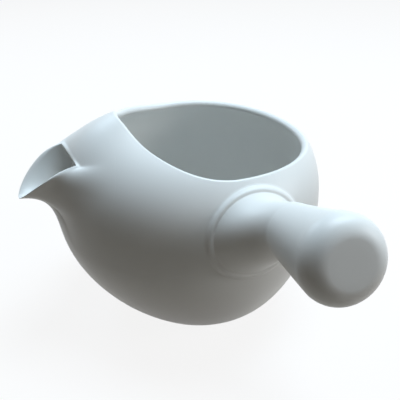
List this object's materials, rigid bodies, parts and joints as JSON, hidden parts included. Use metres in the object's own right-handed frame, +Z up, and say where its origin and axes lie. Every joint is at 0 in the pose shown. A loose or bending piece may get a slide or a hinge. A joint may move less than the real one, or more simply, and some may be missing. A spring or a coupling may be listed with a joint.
{
  "type": "side-handled teapot without its lid",
  "caption": "Lidless side-handled teapot: leaning round bowl with a leaf-shaped mouth, open beak, wall strainer and hollow horn handle on a stepped collar.",
  "frame": {"origin": "middle of the bowl's flat base, on the surface that it stands on", "axes": "+Z up, -X towards the beak, -Y towards the side handle"},
  "size_m": [0.1212, 0.1549, 0.0893],
  "materials": {
    "white_glaze": "matte pale white glaze"
  },
  "bodies": {
    "root": {"bowl_body": "white_glaze", "spout": "white_glaze", "strainer": "white_glaze", "handle_collar": "white_glaze", "handle_grip": "white_glaze", "handle_end_disc": "white_glaze"}
  },
  "joints": []
}
